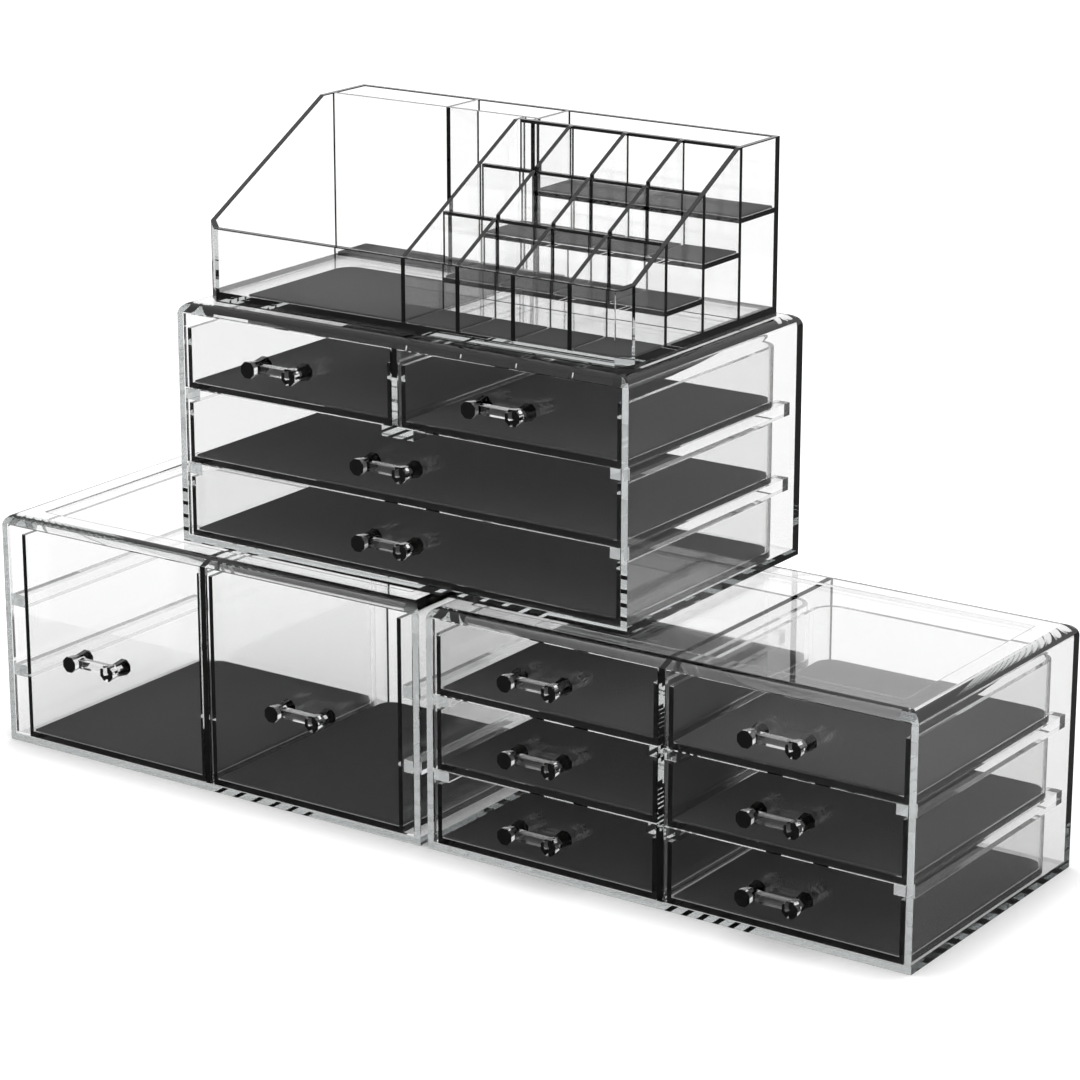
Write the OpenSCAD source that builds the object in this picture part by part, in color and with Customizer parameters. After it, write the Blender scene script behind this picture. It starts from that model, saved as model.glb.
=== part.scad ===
// Clear stacking organizer: two drawer units side by side, a third drawer unit standing across them
// and an open stepped tray on top. Millimetres, +Z up, the drawers open towards -Y.
// The origin is on the table, under the middle of the whole stack.

/* [Drawer units] */
// Outer width of one drawer unit
unit_w = 241; // [225:1:300]
// Outer depth of one drawer unit
unit_d = 140; // [132:1:200]
// Thickness of the side walls
side_t = 3.2; // [2.4:0.1:4]
// Thickness of the back wall
back_t = 3; // [2:0.1:5]
// Thickness of the bottom plate
floor_t = 3.2; // [2:0.1:5]
// Thickness of the top plate
top_t = 4.1; // [3:0.1:6]
// Radius of the rounded upper edges
edge_r = 5.5; // [2:0.1:6]
// Width of the raised rim round the top plate
rim_w = 14; // [11:0.5:20]
// Depth of the flat recess inside that rim
recess_d = 1; // [0.5:0.1:1.5]
// Thickness of the upright dividers
divider_t = 3; // [2:0.1:5]
// Gap between the two lower units
unit_gap = 4; // [1:0.5:20]
// How far the upper unit stands back from the lower fronts
upper_back = 16.5; // [0:0.5:30]
// How far the upper unit's middle lies left of the joint between the lower units
upper_left = 26; // [0:1:60]

/* [Runners] */
// Width of a runner ledge, out from its wall
ledge_w = 7; // [6:0.1:9]
// Height of a runner ledge
ledge_h = 5.8; // [4:0.1:8]
// Free space behind the side walls' ledges
side_ledge_gap = 5; // [1:0.5:20]
// Free space behind a divider's ledges
divider_ledge_gap = 20; // [1:0.5:40]
// Clearance between a ledge and the drawer walls under it
under_ledge = 1.3; // [0.5:0.1:3]
// Clearance between a drawer and the surface it slides on
run_gap = 0.1; // [0.1:0.05:0.3]

/* [Drawers] */
// Height of a low drawer's front panel
front_h = 33.9; // [28:0.1:50]
// Rows of low drawers in a unit
row_count = 3; // [3:1:3]
// Gap between one front panel and the next above it
row_gap = 0.6; // [0.5:0.1:2]
// Gap round the other edges of a front panel
lip_gap = 0.4; // [0.3:0.1:1]
// Thickness of the front panels
front_t = 3; // [2:0.1:4]
// Thickness of the drawer walls
drawer_wall = 2.2; // [1.5:0.1:3]
// Thickness of the drawer floors
drawer_floor = 2.4; // [1.5:0.1:3.5]
// Outer radius of a drawer's rear corners
drawer_r = 10.5; // [4:0.5:12]
// Side gap between a low drawer's walls and the casing
low_side_gap = 1.2; // [0.5:0.1:4]
// Free space behind a low drawer
low_back_gap = 10; // [3:0.5:30]
// Side gap between a tall drawer's walls and the runner ledges
tall_ledge_gap = 0.5; // [0.3:0.1:2]
// Side gap between a tall drawer's walls and the divider
tall_divider_gap = 0.8; // [0.3:0.1:3]
// Free space behind a tall drawer
tall_back_gap = 3; // [1:0.5:30]
// Clearance between a tall drawer's walls and the top plate
tall_top_gap = 4.4; // [1:0.1:20]
// Thickness of the liner mats
mat_t = 1; // [0.6:0.1:2]
// Gap round a liner mat
mat_gap = 0.5; // [0.3:0.1:2]

/* [Pulls] */
// Width across corners of a pull's eight-sided posts at their ends
post_d = 8; // [6:0.1:12]
// Width across corners at their waist
waist_d = 6.2; // [5:0.1:8]
// How far the posts stand out from the front panel
post_l = 12.5; // [11:0.5:20]
// Distance between the two posts
post_pitch = 22.6; // [18:0.1:40]
// Height of the bar between the posts
bar_h = 3.8; // [3:0.1:5]
// Depth of the bar, front to back
bar_d = 4.3; // [3:0.1:6]
// How far the bar stands back from the posts' front faces
bar_in = 3; // [0.5:0.1:4]
// How far a tall drawer's pull lies under the middle of its front
tall_pull_drop = 5; // [0:1:30]

/* [Tray] */
// Width of the tray
tray_w = 226; // [205:1:236]
// Depth of the tray
tray_d = 119; // [112:1:125]
// Height of the tray's back
tray_h = 80; // [70:1:100]
// Height of the tray's front wall
lip_h = 33.5; // [28:0.5:40]
// Where the sloping wall tops start, behind the front
slope_start = 2; // [1:0.5:10]
// Where the sloping wall tops end, behind the front
slope_end = 86; // [70:1:87]
// Thickness of the tray's walls
tray_wall = 2.2; // [1.6:0.1:2.6]
// Thickness of the tray's floor
tray_floor = 4.4; // [3:0.1:6]
// Width of the cut front corners
cut_w = 6.5; // [4:0.5:12]
// Depth of the cut front corners
cut_d = 5.5; // [4:0.5:12]
// Columns of slots in the rack
slot_cols = 4; // [2:1:4]
// Rows of slots in the rack
slot_rows = 3; // [3:1:3]
// Clear width of a slot
slot_w = 26.6; // [22:0.2:27]
// Clear depth of a slot
slot_d = 27; // [24:0.2:27.4]
// Rise from one row of slots to the next
step_rise = 14.75; // [10:0.25:15]
// Thickness of the raised shelves
shelf_t = 2.2; // [1.6:0.1:3]
// How far the partition stands behind the rack's last wall
partition_back = 2.7; // [1:0.1:5]
// How far the back compartment's side plate stands right of the rack's left fin
brush_in = 7.1; // [3:0.1:15]
// Clear width of the left back bin
left_bin_w = 63.7; // [40:0.1:75]
// Bare floor left of the front compartment's mat
front_mat_side = 21; // [0.5:0.5:50]
// Bare floor behind the front compartment's mat
front_mat_back = 18; // [0.5:0.5:40]

/* [Hidden] */
$fn = 64;
CLEAR = [0.93, 0.95, 0.96, 0.45];
FELT = [0.2, 0.2, 0.2];
POST_SIDES = 8;
EPS = 1; // how far a cutter runs past a face

// Heights in a drawer unit
row_pitch = front_h + row_gap;
roof_z = floor_t + row_count * row_pitch - row_gap + 2 * lip_gap;
unit_h = roof_z + top_t;
function seat_z(row) = floor_t + row * row_pitch;
low_wall_h = row_pitch - ledge_h - under_ledge - run_gap;
tall_front_h = roof_z - floor_t - 2 * lip_gap;
tall_wall_h = roof_z - tall_top_gap - floor_t - run_gap;

// Widths in a drawer unit
inner_w = unit_w - 2 * side_t;
half_bay = (inner_w - divider_t) / 2;
divider_len = unit_d - back_t - lip_gap;

// Places in the stack
front_y = (post_l - unit_d - upper_back) / 2;
pair_x = (unit_w + unit_gap) / 2;
LEFT_AT = [-pair_x, front_y, 0];
RIGHT_AT = [pair_x, front_y, 0];
UPPER_AT = [-upper_left, front_y + upper_back, unit_h];
TRAY_AT = [-upper_left, front_y + upper_back + (unit_d - tray_d) / 2, 2 * unit_h];

// A bay is the space between two walls that one drawer fills: middle in X, width
FULL_BAY = [0, inner_w];
WEST_BAY = [-(half_bay + divider_t) / 2, half_bay];
EAST_BAY = [(half_bay + divider_t) / 2, half_bay];

// One drawer: name, unit's place, bay, row, tall or not, gaps left and right of its walls
WEST_TALL = [ledge_w + tall_ledge_gap, tall_divider_gap];
EAST_TALL = [tall_divider_gap, ledge_w + tall_ledge_gap];
LOW = [low_side_gap, low_side_gap];
ROW_NAMES = ["bottom", "middle", "top"];
SIDES = [["left", WEST_BAY], ["right", EAST_BAY]];
DRAWERS = concat(
    [["left_unit_left_drawer", LEFT_AT, WEST_BAY, 0, true, WEST_TALL],
     ["left_unit_right_drawer", LEFT_AT, EAST_BAY, 0, true, EAST_TALL]],
    [for (row = [0 : row_count - 1], side = SIDES)
        [str("right_unit_", ROW_NAMES[row], "_", side[0], "_drawer"), RIGHT_AT, side[1], row, false, LOW]],
    [for (row = [0 : row_count - 2])
        [str("upper_unit_", ROW_NAMES[row], "_drawer"), UPPER_AT, FULL_BAY, row, false, LOW]],
    [for (side = SIDES)
        [str("upper_unit_top_", side[0], "_drawer"), UPPER_AT, side[1], row_count - 1, false, LOW]]
);

// Heights and depths in the tray
tray_in_x = tray_w / 2 - tray_wall;
tray_in_y = tray_d - tray_wall;
slope_k = (tray_h - lip_h) / (slope_end - slope_start);
function slope_z(y) = min(tray_h, max(lip_h, lip_h + (y - slope_start) * slope_k));
function wall_y(i) = tray_wall + i * (slot_d + tray_wall) - tray_wall; // front face of cross wall i
function level_z(i) = tray_floor + i * step_rise;                      // floor of slot row i
function slot_x(i) = tray_in_x - (i + 1) * slot_w - i * tray_wall;     // left side of slot column i
rack_x = slot_x(slot_cols - 1);
rack_end_y = wall_y(slot_rows) + tray_wall;
partition_y = rack_end_y + partition_back;
brush_x = rack_x + brush_in;
bin_y = partition_y + tray_wall;
bin_plate_x = -tray_in_x + left_bin_w;

SLOT_PADS = [for (row = [0 : slot_rows - 1]) str("slot_pads_row_", row + 1)];
FINS = [for (i = [1 : slot_cols - 1]) str("rack_fin_", i)];

// ---- shapes shared by several pieces ----

// Upright outline with both upper corners rounded, from x = 0
module arched_outline(w, h, r) {
    square([w, h - r]);
    translate([r, 0]) square([w - 2 * r, h]);
    for (x = [r, w - r]) translate([x, h - r]) circle(r);
}

// Plan of a drawer, x from 0, y from 0, with its two rear corners rounded
module drawer_plan(w, d, r) {
    square([w, d - r]);
    translate([r, 0]) square([w - 2 * r, d]);
    for (x = [r, w - r]) translate([x, d - r]) circle(r);
}

// Turns an outline drawn as (y, z) into a plate of thickness t standing at x
module plate_yz(x, t) {
    translate([x, 0, 0]) rotate([90, 0, 90]) linear_extrude(t) children();
}

// Turns an outline drawn as (x, z) into a bar running back from y, of length l
module bar_xz(y, l) {
    translate([0, y + l, 0]) rotate([90, 0, 0]) linear_extrude(l) children();
}

// ---- drawer units ----

// Outer block of a casing, all upper edges rounded
module casing_block() {
    intersection() {
        translate([-unit_w / 2, 0, 0]) bar_xz(0, unit_d) arched_outline(unit_w, unit_h, edge_r);
        plate_yz(-unit_w / 2, unit_w) arched_outline(unit_d, unit_h, edge_r);
    }
}

// Runner ledges on both side walls, one under each row but the lowest
module side_ledges() {
    for (row = [1 : row_count - 1], side = [-1, 1])
        translate([side * (inner_w - ledge_w) / 2 - ledge_w / 2, lip_gap + front_t, seat_z(row) - ledge_h])
            cube([ledge_w, divider_len - front_t - side_ledge_gap, ledge_h]);
}

module casing_shell() {
    difference() {
        casing_block();
        translate([-inner_w / 2, -EPS, floor_t])
            cube([inner_w, unit_d - back_t + EPS, roof_z - floor_t]);
        translate([rim_w - unit_w / 2, rim_w, unit_h - recess_d])
            cube([unit_w - 2 * rim_w, unit_d - 2 * rim_w, recess_d + EPS]);
    }
    side_ledges();
}

// Divider plate from height z up to the top plate
module divider_plate(z) {
    translate([-divider_t / 2, lip_gap, z]) cube([divider_t, divider_len, roof_z - z]);
}

// Ledge on both faces of a divider, under the given row
module divider_ledge(row) {
    ledge = divider_t + 2 * ledge_w;
    translate([-ledge / 2, lip_gap + front_t, seat_z(row) - ledge_h])
        cube([ledge, divider_len - front_t - divider_ledge_gap, ledge_h]);
}

module left_casing() color(CLEAR) translate(LEFT_AT) casing_shell();

module left_divider() color(CLEAR) translate(LEFT_AT) divider_plate(floor_t);

module right_casing() color(CLEAR) translate(RIGHT_AT) casing_shell();

module right_divider() color(CLEAR) translate(RIGHT_AT) {
    divider_plate(floor_t);
    for (row = [1 : row_count - 1]) divider_ledge(row);
}

module upper_casing() color(CLEAR) translate(UPPER_AT) casing_shell();

module upper_divider() color(CLEAR) translate(UPPER_AT) {
    divider_plate(seat_z(row_count - 1));
    divider_ledge(row_count - 1);
}

// ---- drawers ----

// Values of one drawer, read from its entry in DRAWERS
function at(d) = d[1] + [d[2][0], 0, seat_z(d[3])];
function bay_w(d) = d[2][1];
function is_tall(d) = d[4];
function body_x(d) = d[5][0] - bay_w(d) / 2;
function body_w(d) = bay_w(d) - d[5][0] - d[5][1];
function body_d(d) = unit_d - back_t - (is_tall(d) ? tall_back_gap : low_back_gap);
function panel_h(d) = is_tall(d) ? tall_front_h : front_h;
function wall_h(d) = is_tall(d) ? tall_wall_h : low_wall_h;
function pull_z(d) = lip_gap + panel_h(d) / 2 - (is_tall(d) ? tall_pull_drop : 0);

module drawer_box(d) {
    inner_d = body_d(d) - front_t - drawer_wall;
    color(CLEAR) translate(at(d)) {
        translate([lip_gap - bay_w(d) / 2, 0, lip_gap])
            cube([bay_w(d) - 2 * lip_gap, front_t, panel_h(d)]);
        difference() {
            translate([body_x(d), front_t, run_gap])
                linear_extrude(wall_h(d)) drawer_plan(body_w(d), body_d(d) - front_t, drawer_r);
            translate([body_x(d) + drawer_wall, front_t, run_gap + drawer_floor])
                linear_extrude(wall_h(d))
                    drawer_plan(body_w(d) - 2 * drawer_wall, inner_d, drawer_r - drawer_wall);
        }
    }
}

module drawer_mat(d) {
    inset = drawer_wall + mat_gap;
    color(FELT) translate(at(d))
        translate([body_x(d) + inset, front_t + mat_gap, run_gap + drawer_floor])
            linear_extrude(mat_t)
                drawer_plan(body_w(d) - 2 * inset, body_d(d) - front_t - inset - mat_gap, drawer_r - inset);
}

// Half of a post, eight-sided, from its end at y = 0 to its waist
module half_post() {
    rotate([90, 180 / POST_SIDES, 0])
        cylinder(h = post_l / 2, d1 = post_d, d2 = waist_d, $fn = POST_SIDES);
}

module drawer_pull(d) {
    color(CLEAR) translate(at(d) + [0, 0, pull_z(d)]) {
        for (side = [-1, 1]) translate([side * post_pitch / 2, 0, 0]) {
            half_post();
            translate([0, -post_l, 0]) mirror([0, 1, 0]) half_post();
        }
        translate([-post_pitch / 2, bar_in - post_l, -bar_h / 2]) cube([post_pitch, bar_d, bar_h]);
    }
}

// ---- tray ----

// Plan of the tray, grown inwards by inset, with its two front corners cut
module tray_plan(inset) {
    w = tray_w / 2 - inset;
    back = tray_d - inset;
    cut_shift = inset * (sqrt(cut_w * cut_w + cut_d * cut_d) - cut_d) / cut_w;
    side_shift = inset * (sqrt(cut_w * cut_w + cut_d * cut_d) - cut_w) / cut_d;
    front_x = tray_w / 2 - cut_w - cut_shift;
    side_y = cut_d + side_shift;
    polygon([[-front_x, inset], [front_x, inset], [w, side_y], [w, back], [-w, back], [-w, side_y]]);
}

// Side view of the tray as (y, z), its top sloping up to the back
module tray_side() {
    polygon([[0, 0], [tray_d, 0], [tray_d, tray_h], [slope_end, tray_h], [slope_start, lip_h], [0, lip_h]]);
}

module tray_shell() color(CLEAR) translate(TRAY_AT) {
    linear_extrude(tray_floor) tray_plan(0);
    intersection() {
        linear_extrude(tray_h) difference() {
            tray_plan(0);
            tray_plan(tray_wall);
        }
        plate_yz(-tray_w / 2, tray_w) tray_side();
    }
}

// Side view of the rack: its upright walls and the shelves between them
module rack_outline() {
    for (i = [1 : slot_rows])
        translate([wall_y(i), tray_floor]) square([tray_wall, slope_z(wall_y(i)) - tray_floor]);
    for (i = [1 : slot_rows - 1])
        translate([wall_y(i), level_z(i) - shelf_t]) square([slot_d + 2 * tray_wall, shelf_t]);
}

module tray_rack() color(CLEAR) translate(TRAY_AT)
    plate_yz(rack_x, tray_in_x - rack_x) rack_outline();

module tray_brush_shelf() color(CLEAR) translate(TRAY_AT)
    translate([brush_x, rack_end_y, level_z(slot_rows) - shelf_t])
        cube([tray_in_x - brush_x, tray_in_y - rack_end_y, shelf_t]);

// Upright plate from y0 to y1 on level z, its top following the slope
module sloped_plate(x, y0, y1, z) {
    plate_yz(x, tray_wall) intersection() {
        translate([y0, z]) square([y1 - y0, tray_h - z]);
        tray_side();
    }
}

module tray_rack_side() color(CLEAR) translate(TRAY_AT)
    sloped_plate(rack_x - tray_wall, tray_wall, partition_y, tray_floor);

// Fin between slot columns i - 1 and i, in one piece for each row of slots
module rack_fin(i) color(CLEAR) translate(TRAY_AT)
    for (row = [0 : slot_rows - 1])
        sloped_plate(slot_x(i) + slot_w, wall_y(row) + tray_wall, wall_y(row + 1), level_z(row));

module tray_partition() color(CLEAR) translate(TRAY_AT)
    translate([-tray_in_x, partition_y, tray_floor])
        cube([tray_in_x + brush_x - tray_wall, tray_wall, tray_h - tray_floor]);

module tray_left_bin_plate() color(CLEAR) translate(TRAY_AT)
    translate([bin_plate_x, bin_y, tray_floor])
        cube([tray_wall, tray_in_y - bin_y, tray_h - tray_floor]);

module tray_right_bin_plate() color(CLEAR) translate(TRAY_AT)
    translate([brush_x - tray_wall, rack_end_y, tray_floor])
        cube([tray_wall, tray_in_y - rack_end_y, tray_h - tray_floor]);

// ---- pads in the tray ----

// Flat pad in the space from corner a to corner b, on level z, clear of the shell's cut corners
module pad(a, b, z) {
    color(FELT) translate(TRAY_AT) translate([0, 0, z]) linear_extrude(mat_t) intersection() {
        translate([a.x + mat_gap, a.y + mat_gap]) square([b.x - a.x - 2 * mat_gap, b.y - a.y - 2 * mat_gap]);
        tray_plan(tray_wall + mat_gap);
    }
}

// Pads of one row of slots
module slot_pads(row) {
    y = wall_y(row) + tray_wall;
    for (i = [0 : slot_cols - 1])
        pad([slot_x(i), y], [slot_x(i) + slot_w, y + slot_d], level_z(row));
}

module brush_pad() pad([brush_x, rack_end_y], [tray_in_x, tray_in_y], level_z(slot_rows));

module front_mat() pad([front_mat_side - tray_in_x, tray_wall],
    [rack_x - tray_wall, partition_y - front_mat_back], tray_floor);

module left_bin_mat() pad([-tray_in_x, bin_y], [bin_plate_x, tray_in_y], tray_floor);

module right_bin_mat() pad([bin_plate_x + tray_wall, bin_y], [brush_x - tray_wall, tray_in_y], tray_floor);

// ---- the object ----

left_casing();
left_divider();
right_casing();
right_divider();
upper_casing();
upper_divider();
for (d = DRAWERS) {
    drawer_box(d);
    drawer_mat(d);
    drawer_pull(d);
}
tray_shell();
tray_rack();
tray_brush_shelf();
tray_rack_side();
tray_partition();
tray_left_bin_plate();
tray_right_bin_plate();
for (i = [1 : slot_cols - 1])
    rack_fin(i);
for (row = [0 : slot_rows - 1])
    slot_pads(row);
brush_pad();
front_mat();
left_bin_mat();
right_bin_mat();
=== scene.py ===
"""Clear stacking organizer: the looks of its acrylic, its felt liners and the studio round it."""

import logging
import math
from dataclasses import dataclass
from enum import Enum

import bmesh
import bpy
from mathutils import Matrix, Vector, noise

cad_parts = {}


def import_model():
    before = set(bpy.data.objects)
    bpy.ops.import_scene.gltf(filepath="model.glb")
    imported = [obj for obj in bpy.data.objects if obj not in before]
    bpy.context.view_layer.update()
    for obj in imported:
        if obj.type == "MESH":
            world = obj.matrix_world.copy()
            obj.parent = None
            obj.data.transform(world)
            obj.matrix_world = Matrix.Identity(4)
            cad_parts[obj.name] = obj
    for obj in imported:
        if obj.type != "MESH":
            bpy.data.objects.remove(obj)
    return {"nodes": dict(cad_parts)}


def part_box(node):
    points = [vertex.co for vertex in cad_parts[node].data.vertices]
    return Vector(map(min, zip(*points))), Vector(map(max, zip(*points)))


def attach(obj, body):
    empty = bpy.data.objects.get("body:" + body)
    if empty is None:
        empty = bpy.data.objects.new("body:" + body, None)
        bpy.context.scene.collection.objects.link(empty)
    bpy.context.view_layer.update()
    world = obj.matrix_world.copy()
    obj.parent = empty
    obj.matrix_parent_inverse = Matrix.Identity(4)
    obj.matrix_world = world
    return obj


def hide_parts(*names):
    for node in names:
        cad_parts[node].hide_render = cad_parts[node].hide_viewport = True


log = logging.getLogger("organizer")

MM = 0.001

Colour = tuple[float, float, float]


class Corner(Enum):
    """How one corner of a liner is cut."""

    SQUARE = "square"
    ROUND = "round"
    CUT = "cut"


class Bay(Enum):
    """Which part of a unit's width a drawer fills."""

    LEFT = "left"
    RIGHT = "right"
    FULL = "full"


class ShaderSheet:
    """The node tree of one material or world, with short calls to fill it."""

    def __init__(self, tree: bpy.types.NodeTree) -> None:
        """Empties the tree.

        Args:
            tree: the node tree to fill.
        """
        self.tree = tree
        tree.nodes.clear()

    def add(self, kind: str, **values: object) -> bpy.types.Node:
        """Adds one node.

        Args:
            kind: the node's type name, without the ShaderNode at its start.
            **values: its settings, and its inputs by name with _ for a space.

        Returns:
            The new node.
        """
        node = self.tree.nodes.new("ShaderNode" + kind)
        for name, value in values.items():
            socket = node.inputs.get(name.replace("_", " "))
            if socket is None:
                setattr(node, name, value)
            else:
                self.feed(socket, value)
        return node

    def feed(self, socket: bpy.types.NodeSocket, value: object) -> None:
        """Gives an input its value, or links it where the value is another node's output."""
        if isinstance(value, bpy.types.NodeSocket):
            self.tree.links.new(value, socket)
        else:
            socket.default_value = value

    def maths(self, operation: str, *values: object) -> bpy.types.NodeSocket:
        """Adds one Math node.

        Args:
            operation: the Math node's operation.
            *values: its inputs in order, each a number or an output.

        Returns:
            Its output.
        """
        node = self.add("Math", operation=operation)
        for socket, value in zip(node.inputs, values):
            self.feed(socket, value)
        return node.outputs[0]

    def spread(self, value: bpy.types.NodeSocket, low: float, high: float) -> bpy.types.NodeSocket:
        """Maps a value from 0..1 to low..high.

        Args:
            value: the output to map.
            low: what 0 becomes.
            high: what 1 becomes.

        Returns:
            The mapped output.
        """
        return self.add("MapRange", Value=value, To_Min=low, To_Max=high).outputs[0]


@dataclass(frozen=True)
class Grain:
    """One layer of noise over a piece."""

    scale: float
    detail: float
    roughness: float = 0.5
    twist: float = 0.0

    def lay(self, sheet: ShaderSheet, place: bpy.types.NodeSocket) -> bpy.types.NodeSocket:
        """Adds the noise.

        Args:
            sheet: the material's nodes.
            place: the point on the piece.

        Returns:
            The noise, from 0 to 1.
        """
        node = sheet.add("TexNoise", Vector=place, Scale=self.scale, Detail=self.detail)
        node.inputs["Roughness"].default_value = self.roughness
        node.inputs["Distortion"].default_value = self.twist
        return node.outputs["Fac"]


@dataclass(frozen=True)
class PaintedRimShade:
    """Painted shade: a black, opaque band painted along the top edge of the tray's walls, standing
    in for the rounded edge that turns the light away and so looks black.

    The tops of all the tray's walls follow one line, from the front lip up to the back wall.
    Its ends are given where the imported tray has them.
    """

    depth: float
    front: float = -43.0 * MM
    back: float = 41.0 * MM
    low: float = 255.5 * MM
    high: float = 302.0 * MM
    shade: float = 0.01

    def mask(self, sheet: ShaderSheet, place: bpy.types.NodeSocket) -> bpy.types.NodeSocket:
        """Finds the painted shade band: what lies less than its depth under the walls' tops.

        Args:
            sheet: the material's nodes.
            place: the point on the piece.

        Returns:
            1 on the painted shade band and 0 below it.
        """
        axes = sheet.add("SeparateXYZ", Vector=place).outputs
        top = sheet.add("MapRange", Value=axes["Y"], From_Min=self.front, From_Max=self.back)
        top.inputs["To Min"].default_value = self.low
        top.inputs["To Max"].default_value = self.high
        below = sheet.maths("SUBTRACT", top.outputs[0], axes["Z"])
        return sheet.maths("LESS_THAN", below, self.depth)


@dataclass(frozen=True)
class ClearAcrylic:
    """Polished acrylic: clear through its faces, a little darker where light runs along it, with
    painted shade on the wall tops where a rim is given.
    """

    name: str
    tint: Colour = (0.995, 0.995, 0.995)
    ior: float = 1.49
    wipes: Grain = Grain(38.0, 3.0, 0.55, 0.8)
    polish_low: float = 0.0
    polish_high: float = 0.01
    casting: Grain = Grain(14.0, 1.0)
    ripple: float = 0.012
    ripple_height: float = 2.0 * MM
    smoke: float = 12.0
    smoke_colour: Colour = (0.6, 0.62, 0.62)
    # painted shade: when given, an opaque black band painted along the wall tops
    rim: PaintedRimShade | None = None

    def material(self) -> bpy.types.Material:
        """Makes the material, or returns the one already made.

        Returns:
            The material.
        """
        ready = bpy.data.materials.get(self.name)
        if ready is not None:
            return ready
        made = bpy.data.materials.new(self.name)
        made.use_nodes = True
        sheet = ShaderSheet(made.node_tree)
        place = sheet.add("TexCoord").outputs["Object"]
        wiped = self.wipes.lay(sheet, place)
        cast = self.casting.lay(sheet, place)
        swell = sheet.add("Bump", Height=cast, Strength=self.ripple, Distance=self.ripple_height)
        shader = sheet.add("BsdfPrincipled", Normal=swell.outputs["Normal"], IOR=self.ior)
        shader.inputs["Base Color"].default_value = (*self.tint, 1.0)
        shader.inputs["Transmission Weight"].default_value = 1.0
        polish = sheet.spread(wiped, self.polish_low, self.polish_high)
        sheet.feed(shader.inputs["Roughness"], polish)
        # Painted shade: the band under the wall tops gets a near-black colour and no transmission,
        # standing in for the dark look of the rounded edges.
        if self.rim is not None:
            dark = self.rim.mask(sheet, place)
            tone = sheet.spread(dark, self.tint[0], self.rim.shade)
            sheet.feed(shader.inputs["Base Color"], tone)
            clear = sheet.maths("SUBTRACT", 1.0, dark)
            sheet.feed(shader.inputs["Transmission Weight"], clear)
        depth = sheet.add("VolumeAbsorption", Density=self.smoke)
        depth.inputs["Color"].default_value = (*self.smoke_colour, 1.0)
        sheet.add("OutputMaterial", Surface=shader.outputs[0], Volume=depth.outputs[0])
        return made


@dataclass(frozen=True)
class LinerFelt:
    """Pressed dark felt: a matte mat of short fibres, a little mottled."""

    name: str
    shade: float = 0.105
    blue_cast: float = 1.02
    fibres: Grain = Grain(950.0, 4.0, 0.7, 1.6)
    mottle: float = 0.22
    clouds: Grain = Grain(70.0, 2.0)
    cloud_depth: float = 0.06
    pore_scale: float = 1300.0
    nap: float = 0.35
    nap_height: float = 0.4 * MM
    rough_low: float = 0.85
    rough_high: float = 1.0
    gloss: float = 0.15
    fuzz: float = 0.12
    fuzz_roughness: float = 0.6

    def material(self) -> bpy.types.Material:
        """Makes the material, or returns the one already made.

        Returns:
            The material.
        """
        ready = bpy.data.materials.get(self.name)
        if ready is not None:
            return ready
        made = bpy.data.materials.new(self.name)
        made.use_nodes = True
        sheet = ShaderSheet(made.node_tree)
        place = sheet.add("TexCoord").outputs["Object"]
        fibres = self.fibres.lay(sheet, place)
        clouds = self.clouds.lay(sheet, place)
        pores = sheet.add("TexVoronoi", Vector=place, Scale=self.pore_scale).outputs["Distance"]
        tone = sheet.maths(
            "MULTIPLY",
            sheet.spread(fibres, 1.0 - self.mottle, 1.0 + self.mottle),
            sheet.spread(clouds, 1.0 - self.cloud_depth, 1.0 + self.cloud_depth),
        )
        colour = sheet.add("VectorMath", operation="SCALE", Scale=tone)
        colour.inputs[0].default_value = (self.shade, self.shade, self.shade * self.blue_cast)
        height = sheet.maths("ADD", fibres, pores)
        nap = sheet.add("Bump", Height=height, Strength=self.nap, Distance=self.nap_height)
        shader = sheet.add("BsdfPrincipled", Normal=nap.outputs["Normal"])
        sheet.feed(shader.inputs["Base Color"], colour.outputs[0])
        rough = sheet.spread(pores, self.rough_low, self.rough_high)
        sheet.feed(shader.inputs["Roughness"], rough)
        shader.inputs["Specular IOR Level"].default_value = self.gloss
        shader.inputs["Sheen Weight"].default_value = self.fuzz
        shader.inputs["Sheen Roughness"].default_value = self.fuzz_roughness
        sheet.add("OutputMaterial", Surface=shader.outputs[0])
        return made


@dataclass(frozen=True)
class LinerCorner:
    """One corner of a liner: its cut, and how far that reaches along the front and the side."""

    style: Corner = Corner.SQUARE
    across: float = 0.4 * MM
    back: float = 0.4 * MM
    steps: int = 8

    def points(self, at: Vector, before: Vector, after: Vector) -> list[Vector]:
        """The outline's points round this corner.

        Args:
            at: the corner itself.
            before: direction from the corner back along the edge that comes to it.
            after: direction from the corner along the edge that leaves it.

        Returns:
            The points in order.
        """
        come, leave = (
            way * (self.across if abs(way.x) > abs(way.y) else self.back)
            for way in (before, after)
        )
        if self.style is not Corner.ROUND:
            return [at + come, at + leave]
        middle = at + come + leave
        turns = [math.pi / 2 * i / self.steps for i in range(self.steps + 1)]
        return [middle - leave * math.cos(turn) - come * math.sin(turn) for turn in turns]


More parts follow.
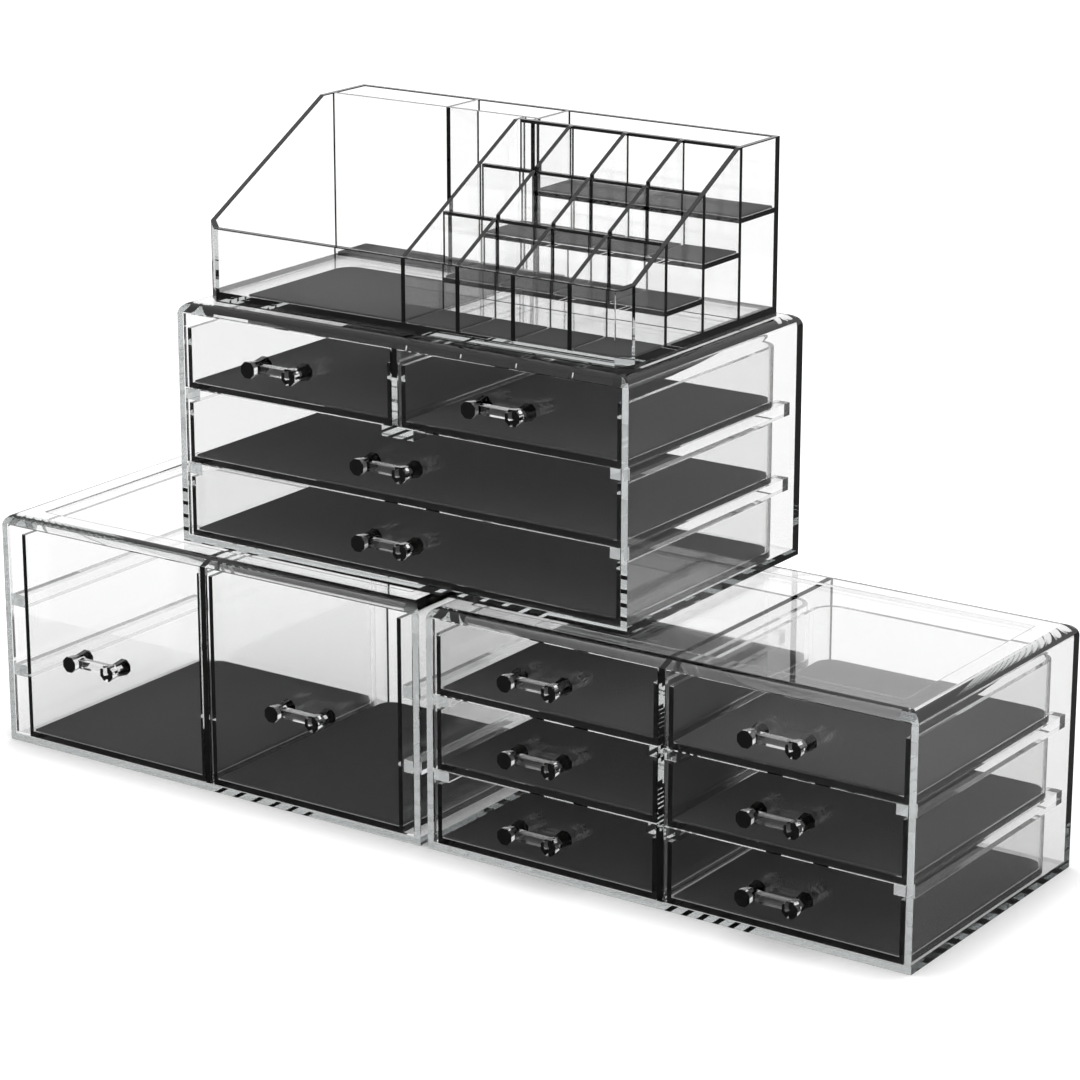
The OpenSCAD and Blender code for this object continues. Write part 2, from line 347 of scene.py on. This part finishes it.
@dataclass
class Liner:
    """A thin felt mat, laid in a drawer or on a shelf of the tray."""

    name: str
    body: str
    rests_on: str
    node: str
    low: Vector
    high: Vector
    felt: LinerFelt
    corners: tuple[LinerCorner, ...] = (LinerCorner(),) * 4
    sunk: float = 0.05 * MM
    edge: float = 0.35 * MM
    foot_inset: float = 0.2
    foot_rise: float = 0.4
    crown: float = 0.3
    wave: float = 0.12 * MM
    wave_scale: float = 26.0
    wave_seed: float = 90.0
    ring_shares: tuple[float, ...] = (1.0, 0.97, 0.9, 0.8, 0.68, 0.55, 0.42, 0.3, 0.18, 0.08)

    def outline(self) -> list[Vector]:
        """The mat's outline from above, against the clock from its front left corner.

        Returns:
            The points.
        """
        lo, hi = self.low, self.high
        places = [Vector(at) for at in ((lo.x, lo.y), (hi.x, lo.y), (hi.x, hi.y), (lo.x, hi.y))]
        ways = [Vector((1, 0)), Vector((0, 1)), Vector((-1, 0)), Vector((0, -1))]
        points = []
        for i, corner in enumerate(self.corners):
            points += corner.points(places[i], -ways[i - 1], ways[i])
        return points

    @staticmethod
    def inset(points: list[Vector], by: float) -> list[Vector]:
        """The outline moved inwards, with the step held back at a very sharp corner.

        Args:
            points: a convex outline, against the clock.
            by: how far in.

        Returns:
            The new outline, point for point.
        """
        sharpest = 0.5
        moved = []
        for i, here in enumerate(points):
            before = (here - points[i - 1]).normalized()
            after = (points[(i + 1) % len(points)] - here).normalized()
            a, b = Vector((-before.y, before.x)), Vector((-after.y, after.x))
            middle = (a + b).normalized()
            moved.append(here + middle * by / max(sharpest, middle.dot(a)))
        return moved

    def side_rings(self, outline: list[Vector]) -> list[tuple[list[Vector], float]]:
        """The mat's side from its foot to its rounded upper edge.

        Args:
            outline: the mat's outline from above.

        Returns:
            Each ring's points and its height.
        """
        bottom, top, edge = self.low.z - self.sunk, self.high.z, self.edge
        return [
            (self.inset(outline, edge), bottom),
            (self.inset(outline, edge * self.foot_inset), bottom + edge * self.foot_rise),
            (outline, top - edge),
            (self.inset(outline, edge * self.crown), top - edge * self.crown),
        ]

    def dip(self, point: Vector) -> float:
        """How far the mat's top lies below its full height at a point, in soft waves."""
        at = Vector((point.x * self.wave_scale, point.y * self.wave_scale, 0.0))
        at.z = self.low.z * self.wave_seed
        return self.wave * (0.5 + 0.5 * noise.noise(at))

    def build(self) -> bpy.types.Object:
        """Builds the mat's mesh, dresses it and attaches it to its body.

        Returns:
            The piece.
        """
        outline = self.outline()
        centre = sum(outline, Vector((0, 0))) / len(outline)
        top = self.high.z
        mesh = bmesh.new()
        sides = self.side_rings(outline)
        loops = [[mesh.verts.new((p.x, p.y, z)) for p in ring] for ring, z in sides]
        inner = self.inset(outline, self.edge)
        for share in self.ring_shares:
            ring = [centre + (p - centre) * share for p in inner]
            loops.append([mesh.verts.new((p.x, p.y, top - self.dip(p))) for p in ring])
        count = len(outline)
        for inner_loop, outer_loop in zip(loops[1:], loops):
            for i in range(count):
                j = (i + 1) % count
                mesh.faces.new((outer_loop[i], outer_loop[j], inner_loop[j], inner_loop[i]))
        for loop, z in ((loops[0][::-1], sides[0][1]), (loops[-1], top - self.wave / 2)):
            hub = mesh.verts.new((centre.x, centre.y, z))
            for i in range(count):
                mesh.faces.new((loop[i], loop[(i + 1) % count], hub))
        bmesh.ops.recalc_face_normals(mesh, faces=mesh.faces)
        data = bpy.data.meshes.new(self.name)
        mesh.to_mesh(data)
        mesh.free()
        data.shade_smooth()
        data.materials.append(self.felt.material())
        piece = bpy.data.objects.new(self.name, data)
        bpy.context.scene.collection.objects.link(piece)
        self.declare(piece, outline)
        return piece

    def declare(self, piece: bpy.types.Object, outline: list[Vector]) -> None:
        """Attaches the mat to its body, hides the CAD node it stands for and logs what it lies on;
        its area is worked out but not passed on.

        Args:
            piece: the mat.
            outline: its outline from above.
        """
        ends = zip(outline, outline[1:] + outline[:1])
        area = 0.5 * sum(a.x * b.y - b.x * a.y for a, b in ends)
        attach(piece, self.body)
        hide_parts(self.node)
        log.info("%s laid on %s", self.name, self.rests_on)


@dataclass
class Drawer:
    """One drawer: its clear box with the front panel, its pull and its liner."""

    name: str
    bay: Bay
    acrylic: ClearAcrylic
    crystal: ClearAcrylic
    felt: LinerFelt
    rear_radius: float = 7.8 * MM

    def build(self, nodes: dict[str, bpy.types.Object]) -> None:
        """Dresses the drawer's clear parts and lays its liner in it.

        Args:
            nodes: the frame's CAD nodes by name.
        """
        dress(nodes[f"{self.name}_box"], self.acrylic)
        dress(nodes[f"{self.name}_pull"], self.crystal)
        low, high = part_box(f"{self.name}_mat")
        rear = LinerCorner(Corner.ROUND, self.rear_radius, self.rear_radius)
        Liner(
            name=f"{self.name}_liner",
            body=self.name,
            rests_on=f"{self.name}_box",
            node=f"{self.name}_mat",
            low=Vector(low),
            high=Vector(high),
            felt=self.felt,
            corners=(LinerCorner(), LinerCorner(), rear, rear),
        ).build()
        log.info("%s dressed, %s bay", self.name, self.bay.value)


@dataclass
class DrawerUnit:
    """One casing with its divider and its drawers."""

    name: str
    acrylic: ClearAcrylic
    drawers: list[Drawer]

    def build(self, nodes: dict[str, bpy.types.Object]) -> None:
        """Dresses the casing and the divider, then builds the drawers.

        Args:
            nodes: the frame's CAD nodes by name.
        """
        dress(nodes[f"{self.name}_casing"], self.acrylic)
        dress(nodes[f"{self.name}_divider"], self.acrylic)
        for drawer in self.drawers:
            drawer.build(nodes)
        log.info("%s unit dressed with %d drawers", self.name, len(self.drawers))


@dataclass
class Tray:
    """The open stepped tray on top: its shell, its rack with fins, its plates and its liners."""

    acrylic: ClearAcrylic
    lipped: ClearAcrylic
    stepped: ClearAcrylic
    felt: LinerFelt
    plates: tuple[str, ...] = (
        "tray_brush_shelf",
        "tray_rack_side",
        "tray_partition",
        "tray_left_bin_plate",
        "tray_right_bin_plate",
        "rack_fin_1",
        "rack_fin_2",
        "rack_fin_3",
    )
    rows: int = 3
    columns: int = 4
    slot_pitch: float = 28.8 * MM
    pad_width: float = 25.6 * MM
    corner_cut: LinerCorner = LinerCorner(Corner.CUT, 5.2 * MM, 4.1 * MM)
    mat_radius: LinerCorner = LinerCorner(Corner.ROUND, 9.0 * MM, 9.0 * MM)

    def lay(
        self,
        name: str,
        on: str,
        node: str,
        low: Vector,
        high: Vector,
        corners: tuple[LinerCorner, ...],
    ) -> None:
        """Lays one liner in the tray.

        Args:
            name: the piece's name.
            on: the node it lies on.
            node: the CAD node it stands for.
            low: its lowest corner.
            high: its highest corner.
            corners: its four corners, from the front left one against the clock.
        """
        Liner(name, "tray", on, node, low, high, self.felt, corners).build()

    def build(self, nodes: dict[str, bpy.types.Object]) -> None:
        """Dresses the clear plates and lays the liners.

        Args:
            nodes: the frame's CAD nodes by name.
        """
        dress(nodes["tray_shell"], self.lipped)
        dress(nodes["tray_rack"], self.stepped)
        for name in self.plates:
            dress(nodes[name], self.acrylic)
        self.lay_slots()
        self.lay_mats()
        log.info("tray dressed with %d slots", self.rows * self.columns)

    def lay_slots(self) -> None:
        """Lays a pad in each slot; the front right one has its outer corner cut."""
        plain = LinerCorner()
        for row in range(1, self.rows + 1):
            node = f"slot_pads_row_{row}"
            low, high = (Vector(corner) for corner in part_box(node))
            floor = "tray_shell" if row == 1 else "tray_rack"
            for column in range(self.columns):
                start = high.x - self.pad_width - (self.columns - 1 - column) * self.slot_pitch
                cut = self.corner_cut if row == 1 and column == self.columns - 1 else plain
                self.lay(
                    f"slot_liner_{row}_{column + 1}",
                    floor,
                    node,
                    Vector((start, low.y, low.z)),
                    Vector((start + self.pad_width, high.y, high.z)),
                    (plain, cut, plain, plain),
                )

    def lay_mats(self) -> None:
        """Lays the front mat, whose rear left corner is round, and the three pads behind."""
        plain = LinerCorner()
        for name, node, floor, rear_left in (
            ("front_liner", "front_mat", "tray_shell", self.mat_radius),
            ("left_bin_liner", "left_bin_mat", "tray_shell", plain),
            ("right_bin_liner", "right_bin_mat", "tray_shell", plain),
            ("brush_liner", "brush_pad", "tray_brush_shelf", plain),
        ):
            low, high = (Vector(corner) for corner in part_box(node))
            self.lay(name, floor, node, low, high, (plain, plain, plain, rear_left))


@dataclass(frozen=True)
class StudioPaper:
    """White paper that keeps its shadow and stays white to the eye and through the acrylic.

    Turns of the light are whole numbers, so half a turn parts one count from the next.
    """

    name: str = "studio_paper"
    grain: Grain = Grain(60.0, 2.0)
    paper: float = 0.8
    grain_depth: float = 0.01
    mirror_paper: float = 0.22
    half_turn: float = 0.5
    shallow: float = 6.5
    lift: float = 0.45
    open_lift: float = 0.58
    seam_lift: float = 0.12
    seam_reach: float = 22.0 * MM
    seam_samples: int = 4
    seam_full: float = 0.5

    def material(self) -> bpy.types.Material:
        """Makes the material.

        Returns:
            The material.
        """
        made = bpy.data.materials.new(self.name)
        made.use_nodes = True
        sheet = ShaderSheet(made.node_tree)
        path = sheet.add("LightPath").outputs
        place = sheet.add("TexCoord").outputs["Object"]
        lit = sheet.maths("GREATER_THAN", path["Diffuse Depth"], self.half_turn)
        unlit = sheet.maths("SUBTRACT", 1.0, lit)
        thrown = self.thrown_once(sheet, path)
        matte = sheet.add("BsdfDiffuse", Color=self.colour(sheet, place, unlit, thrown))
        straight = sheet.maths("MULTIPLY", unlit, sheet.maths("SUBTRACT", 1.0, thrown))
        seen = sheet.maths("MAXIMUM", path["Is Camera Ray"], path["Is Transmission Ray"])
        glow = sheet.maths("MULTIPLY", sheet.maths("MULTIPLY", seen, straight), self.lift)
        light = sheet.add("MixShader", Fac=path["Is Camera Ray"])
        sheet.feed(light.inputs[1], sheet.add("Emission", Strength=glow).outputs[0])
        sheet.feed(light.inputs[2], sheet.add("Emission", Strength=self.seam(sheet)).outputs[0])
        both = sheet.add("AddShader")
        sheet.feed(both.inputs[0], matte.outputs[0])
        sheet.feed(both.inputs[1], light.outputs[0])
        sheet.add("OutputMaterial", Surface=both.outputs[0])
        return made

    def thrown_once(
        self, sheet: ShaderSheet, path: bpy.types.NodeOutputs
    ) -> bpy.types.NodeSocket:
        """Finds the light that met one mirror face and few sheets on its way.

        Args:
            sheet: the material's nodes.
            path: the Light Path node's outputs.

        Returns:
            1 for such light, and 0 for all other light.
        """
        once = sheet.maths("COMPARE", path["Glossy Depth"], 1.0, self.half_turn)
        few = sheet.maths("LESS_THAN", path["Transmission Depth"], self.shallow)
        return sheet.maths("MULTIPLY", once, few)

    def colour(
        self,
        sheet: ShaderSheet,
        place: bpy.types.NodeSocket,
        unlit: bpy.types.NodeSocket,
        thrown: bpy.types.NodeSocket,
    ) -> bpy.types.NodeSocket:
        """The paper's colour: darker where a mirror face throws it back.

        Args:
            sheet: the material's nodes.
            place: the point on the paper.
            unlit: 1 for light that met no matte face.
            thrown: 1 for light that met one mirror face.

        Returns:
            The colour.
        """
        low, high = self.paper - self.grain_depth, self.paper + self.grain_depth
        tone = sheet.spread(self.grain.lay(sheet, place), low, high)
        mix = sheet.add("Mix", data_type="FLOAT")
        sheet.feed(mix.inputs[0], sheet.maths("MULTIPLY", thrown, unlit))
        sheet.feed(mix.inputs[2], tone)
        sheet.feed(mix.inputs[3], self.mirror_paper)
        grey = mix.outputs[0]
        return sheet.add("CombineColor", Red=grey, Green=grey, Blue=grey).outputs[0]

    def seam(self, sheet: ShaderSheet) -> bpy.types.NodeSocket:
        """The short shadow where something stands on the paper.

        Args:
            sheet: the material's nodes.

        Returns:
            The paper's own light: less beside the organizer, more in the open.
        """
        near = sheet.add("AmbientOcclusion", samples=self.seam_samples, Distance=self.seam_reach)
        free = sheet.add("MapRange", Value=near.outputs["AO"], From_Min=self.seam_full)
        return sheet.spread(free.outputs[0], self.seam_lift, self.open_lift)


@dataclass
class Studio:
    """A white floor in a white room."""

    floor_size: float = 30.0
    floor_squares: int = 12
    floor_drop: float = 0.15 * MM
    paper: StudioPaper = StudioPaper()
    daylight: float = 1.0

    def build(self) -> None:
        """Makes the floor and the room."""
        self.make_floor()
        self.make_room()

    def make_floor(self) -> None:
        """Builds the floor sheet and its paper."""
        mesh = bmesh.new()
        squares, reach = self.floor_squares, self.floor_size / 2
        bmesh.ops.create_grid(mesh, x_segments=squares, y_segments=squares, size=reach)
        data = bpy.data.meshes.new("studio_floor")
        mesh.to_mesh(data)
        mesh.free()
        floor = bpy.data.objects.new("studio_floor", data)
        floor.location.z = -self.floor_drop
        bpy.context.scene.collection.objects.link(floor)
        data.materials.append(self.paper.material())
        log.info("floor laid, %.0f m across", self.floor_size)

    def make_room(self) -> None:
        """Builds the white room as the world."""
        world = bpy.data.worlds.new("studio_room")
        bpy.context.scene.world = world
        world.use_nodes = True
        sheet = ShaderSheet(world.node_tree)
        white = (self.daylight, self.daylight, self.daylight, 1.0)
        light = sheet.add("Background", Color=white)
        sheet.add("OutputWorld", Surface=light.outputs[0])
        log.info("room lit")


@dataclass
class PhotoCamera:
    """The camera at the photograph's place, in metres and degrees."""

    place: tuple[float, float, float] = (0.8893, -1.27039, 0.59904)
    heading: float = 34.6298
    tilt: float = 17.0801
    lens: float = 121.77
    sensor: float = 36.0

    def build(self) -> None:
        """Makes the camera and sets it as the scene's."""
        data = bpy.data.cameras.new("photo_camera")
        data.lens, data.sensor_width = self.lens, self.sensor
        camera = bpy.data.objects.new("photo_camera", data)
        camera.location = self.place
        pitch, turn = math.radians(90 - self.tilt), math.radians(self.heading)
        camera.rotation_euler = (pitch, 0.0, turn)
        bpy.context.scene.collection.objects.link(camera)
        bpy.context.scene.camera = camera
        log.info("camera set at %s", self.place)


@dataclass(frozen=True)
class LightPaths:
    """How often light may turn, so that it gets through many sheets behind each other."""

    total: int = 44
    through: int = 32
    mirrored: int = 30
    scattered: int = 3

    def apply(self) -> None:
        """Sets the bounces and the plain colour view."""
        scene = bpy.context.scene
        scene.view_settings.view_transform = "Standard"
        scene.cycles.max_bounces = self.total
        scene.cycles.transmission_bounces = self.through
        scene.cycles.glossy_bounces = self.mirrored
        scene.cycles.diffuse_bounces = self.scattered


@dataclass
class Organizer:
    """The whole organizer: three drawer units and the tray on top."""

    # depths of the painted shade bands on the tray's shell and cross walls
    lip_shade_depth: float = 0.5 * MM
    step_shade_depth: float = 1.4 * MM

    def build(self, nodes: dict[str, bpy.types.Object]) -> None:
        """Builds the units and the tray.

        Args:
            nodes: the frame's CAD nodes by name.
        """
        acrylic = ClearAcrylic("clear_acrylic_sheet")
        crystal = ClearAcrylic("clear_acrylic_pull", ripple=0.0)
        felt = LinerFelt("dark_felt")
        halves = (Bay.LEFT, Bay.RIGHT)
        bays = {
            "left": [("", bay) for bay in halves],
            "right": [(f"{row}_", bay) for row in ("bottom", "middle", "top") for bay in halves],
            "upper": [("bottom", Bay.FULL), ("middle", Bay.FULL)]
            + [("top_", bay) for bay in halves],
        }
        for unit, places in bays.items():
            drawers = []
            for row, bay in places:
                side = "" if bay is Bay.FULL else bay.value
                name = f"{unit}_unit_{row}{side}_drawer"
                drawers.append(Drawer(name, bay, acrylic, crystal, felt))
            DrawerUnit(unit, acrylic, drawers).build(nodes)
        # Painted shade: black bands painted on the tops of the tray's shell and cross walls.
        lipped = ClearAcrylic("clear_acrylic_tray_shell_painted_shade", rim=PaintedRimShade(self.lip_shade_depth))
        stepped = ClearAcrylic("clear_acrylic_cross_walls_painted_shade", rim=PaintedRimShade(self.step_shade_depth))
        Tray(acrylic, lipped, stepped, felt).build(nodes)


def dress(node: bpy.types.Object, acrylic: ClearAcrylic) -> None:
    """Gives a CAD node its acrylic.

    Args:
        node: the CAD node's object.
        acrylic: the finish.
    """
    if not node.material_slots:
        node.data.materials.append(None)
    for slot in node.material_slots:
        slot.link = "OBJECT"
        slot.material = acrylic.material()
    log.info("%s dressed in %s", node.name, acrylic.name)


def main() -> None:
    """Builds the sub-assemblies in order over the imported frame."""
    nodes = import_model()["nodes"]
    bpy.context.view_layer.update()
    PhotoCamera().build()
    LightPaths().apply()
    Studio().build()
    Organizer().build(nodes)


if __name__ == "__main__":
    logging.basicConfig(level=logging.INFO, format="%(name)s: %(message)s")
    main()
